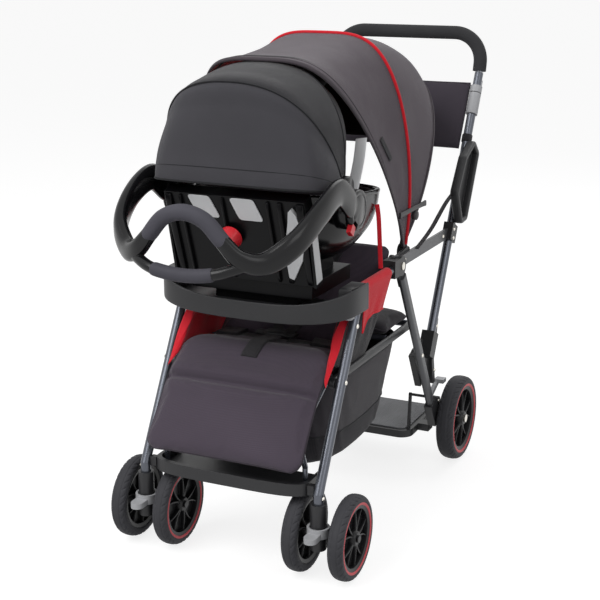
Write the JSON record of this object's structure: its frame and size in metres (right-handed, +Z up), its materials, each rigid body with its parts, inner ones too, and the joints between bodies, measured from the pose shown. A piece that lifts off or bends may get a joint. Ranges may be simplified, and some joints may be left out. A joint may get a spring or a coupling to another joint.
{
  "type": "tandem stroller",
  "caption": "Sit-and-stand tandem stroller with an infant carrier docked on its front tray, a folding hood, a rear standing platform and a folding push handle.",
  "frame": {"origin": "on the ground, under the middle of the stroller's box", "axes": "+Z up, -Y the way the stroller faces, +X the occupant's left when seated facing forward"},
  "size_m": [0.555, 1.24, 1.1007],
  "materials": {
    "frame_tube": "satin gunmetal",
    "black_plastic": "satin",
    "gloss_black": "gloss",
    "grey_plastic": "satin",
    "tread_grey": "fine texture",
    "steel": "brushed",
    "wheel_tyre": "matt",
    "foam": "fine foam",
    "taupe_cloth": "woven",
    "plum_cloth": "woven",
    "charcoal_cloth": "woven",
    "red_cloth": "woven",
    "red_plastic": "gloss"
  },
  "bodies": {
    "chassis": {"front_legs": "frame_tube", "caster_sockets": "black_plastic", "footrest": "black_plastic", "calf_frame": "frame_tube", "lower_rails": "frame_tube", "cross_tubes": "frame_tube", "armrests": "frame_tube", "hub_housings": "black_plastic", "hub_pins": "steel", "tray": "black_plastic", "seat_cushion": "plum_cloth", "calf_pad": "plum_cloth", "side_panels": "red_cloth", "basket": "charcoal_cloth", "rear_bench": "charcoal_cloth", "hood_rear": "taupe_cloth", "hood_rear_bow": "black_plastic"},
    "push_handle": {"handle_tubes": "frame_tube", "handle_bow": "frame_tube", "foam_grip": "foam", "fold_collars": "grey_plastic", "upper_links": "frame_tube", "link_clamps": "black_plastic", "hand_holds": "black_plastic", "lower_brackets": "black_plastic", "organiser": "charcoal_cloth"},
    "rear_frame": {"rear_leg_r": "frame_tube", "rear_leg_l": "frame_tube", "axle_housings": "black_plastic", "rear_axles": "steel", "platform": "black_plastic", "platform_tread": "tread_grey"},
    "hood_front_half": {"hood_front": "taupe_cloth", "hood_front_bow": "black_plastic"},
    "seat_back": {"backrest": "plum_cloth"},
    "carrier": {"carrier_shell": "black_plastic", "carrier_base": "black_plastic", "carrier_liner": "plum_cloth", "carrier_hood": "charcoal_cloth"},
    "carrier_visor": {"carrier_visor": "charcoal_cloth"},
    "carry_handle": {"carry_handle": "gloss_black"},
    "base_knob": {"base_knob": "red_plastic"},
    "tray_tab_r": {"tray_tab_r": "grey_plastic"},
    "tray_tab_l": {"tray_tab_l": "grey_plastic"},
    "fold_lever_r": {"fold_lever_r": "grey_plastic"},
    "fold_lever_l": {"fold_lever_l": "grey_plastic"},
    "brake_lever_r": {"brake_lever_r": "grey_plastic"},
    "brake_lever_l": {"brake_lever_l": "grey_plastic"},
    "rear_wheel_r": {"rear_wheel_r": "wheel_tyre"},
    "rear_wheel_l": {"rear_wheel_l": "wheel_tyre"},
    "carry_button_r": {"carry_button_r": "red_plastic"},
    "carry_button_l": {"carry_button_l": "red_plastic"},
    "caster_r": {"caster_fork_r": "black_plastic"},
    "swivel_lock_r": {"swivel_lock_r": "grey_plastic"},
    "front_wheel_ro": {"front_wheel_ro": "wheel_tyre"},
    "front_wheel_ri": {"front_wheel_ri": "wheel_tyre"},
    "caster_l": {"caster_fork_l": "black_plastic"},
    "swivel_lock_l": {"swivel_lock_l": "grey_plastic"},
    "front_wheel_lo": {"front_wheel_lo": "wheel_tyre"},
    "front_wheel_li": {"front_wheel_li": "wheel_tyre"}
  },
  "joints": [
    {"name": "handle_fold", "type": "hinge", "parent": "chassis", "child": "push_handle", "pos_m": [0, 0, 0.58], "axis": [-1, 0, 0], "range_deg": [-80, 0], "deforming": ["organiser"]},
    {"name": "rear_frame_fold", "type": "hinge", "parent": "chassis", "child": "rear_frame", "pos_m": [0, 0, 0.58], "axis": [1, 0, 0], "range_deg": [-40, 0]},
    {"name": "hood_front_fold", "type": "hinge", "parent": "chassis", "child": "hood_front_half", "pos_m": [0, 0.1, 0.59], "axis": [-1, 0, 0], "range_deg": [0, 32]},
    {"name": "seat_back_recline", "type": "hinge", "parent": "chassis", "child": "seat_back", "pos_m": [0, -0.165, 0.398], "axis": [-1, 0, 0], "range_deg": [0, 15]},
    {"name": "carrier_dock", "type": "slide", "parent": "chassis", "child": "carrier", "axis": [0, -0.9397, 0.342], "range_m": [0, 0.15]},
    {"name": "carrier_visor_turn", "type": "hinge", "parent": "carrier", "child": "carrier_visor", "pos_m": [0, -0.276, 0.803], "axis": [1, 0, 0], "range_deg": [0, 26]},
    {"name": "carry_handle_turn", "type": "hinge", "parent": "carrier", "child": "carry_handle", "pos_m": [0, -0.265, 0.757], "axis": [-1, 0, 0], "range_deg": [0, 40]},
    {"name": "base_knob_slide", "type": "slide", "parent": "carrier", "child": "base_knob", "axis": [0, -0.3258, 0.9454], "range_m": [0, 0.008]},
    {"name": "rear_wheel_r_spin", "type": "hinge", "parent": "rear_frame", "child": "rear_wheel_r", "pos_m": [0.245, 0.345, 0.107], "axis": [1, 0, 0], "continuous": true},
    {"name": "brake_lever_r_press", "type": "hinge", "parent": "rear_frame", "child": "brake_lever_r", "pos_m": [0.2, 0.276, 0.17], "axis": [1, 0, 0], "range_deg": [-25, 0]},
    {"name": "caster_r_swivel", "type": "hinge", "parent": "chassis", "child": "caster_r", "pos_m": [0.205, -0.432, 0.137], "axis": [0, 0, 1], "continuous": true},
    {"name": "swivel_lock_r_lift", "type": "slide", "parent": "caster_r", "child": "swivel_lock_r", "axis": [0, 0, 1], "range_m": [0, 0.008]},
    {"name": "front_wheel_ro_spin", "type": "hinge", "parent": "caster_r", "child": "front_wheel_ro", "pos_m": [0.257, -0.385, 0.091], "axis": [1, 0, 0], "continuous": true},
    {"name": "front_wheel_ri_spin", "type": "hinge", "parent": "caster_r", "child": "front_wheel_ri", "pos_m": [0.153, -0.385, 0.091], "axis": [1, 0, 0], "continuous": true},
    {"name": "fold_lever_r_pull", "type": "slide", "parent": "push_handle", "child": "fold_lever_r", "axis": [0, 0.4695, 0.8829], "range_m": [0, 0.012], "stiffness_N_per_m": 400},
    {"name": "tray_tab_r_press", "type": "slide", "parent": "chassis", "child": "tray_tab_r", "axis": [0, 0, -1], "range_m": [0, 0.006], "stiffness_N_per_m": 600},
    {"name": "carry_button_r_press", "type": "slide", "parent": "carry_handle", "child": "carry_button_r", "axis": [0, 0.6157, 0.788], "range_m": [0, 0.006], "stiffness_N_per_m": 500},
    {"name": "rear_wheel_l_spin", "type": "hinge", "parent": "rear_frame", "child": "rear_wheel_l", "pos_m": [-0.245, 0.345, 0.107], "axis": [1, 0, 0], "continuous": true},
    {"name": "brake_lever_l_press", "type": "hinge", "parent": "rear_frame", "child": "brake_lever_l", "pos_m": [-0.2, 0.276, 0.17], "axis": [1, 0, 0], "range_deg": [-25, 0]},
    {"name": "caster_l_swivel", "type": "hinge", "parent": "chassis", "child": "caster_l", "pos_m": [-0.205, -0.432, 0.137], "axis": [0, 0, 1], "continuous": true},
    {"name": "swivel_lock_l_lift", "type": "slide", "parent": "caster_l", "child": "swivel_lock_l", "axis": [0, 0, 1], "range_m": [0, 0.008]},
    {"name": "front_wheel_lo_spin", "type": "hinge", "parent": "caster_l", "child": "front_wheel_lo", "pos_m": [-0.257, -0.385, 0.091], "axis": [1, 0, 0], "continuous": true},
    {"name": "front_wheel_li_spin", "type": "hinge", "parent": "caster_l", "child": "front_wheel_li", "pos_m": [-0.153, -0.385, 0.091], "axis": [1, 0, 0], "continuous": true},
    {"name": "fold_lever_l_pull", "type": "slide", "parent": "push_handle", "child": "fold_lever_l", "axis": [0, 0.4695, 0.8829], "range_m": [0, 0.012], "stiffness_N_per_m": 400},
    {"name": "tray_tab_l_press", "type": "slide", "parent": "chassis", "child": "tray_tab_l", "axis": [0, 0, -1], "range_m": [0, 0.006], "stiffness_N_per_m": 600},
    {"name": "carry_button_l_press", "type": "slide", "parent": "carry_handle", "child": "carry_button_l", "axis": [0, 0.6157, 0.788], "range_m": [0, 0.006], "stiffness_N_per_m": 500}
  ],
  "couplings": [
    {"joint": "rear_frame_fold", "follows": "handle_fold", "ratio": 0.5}
  ]
}
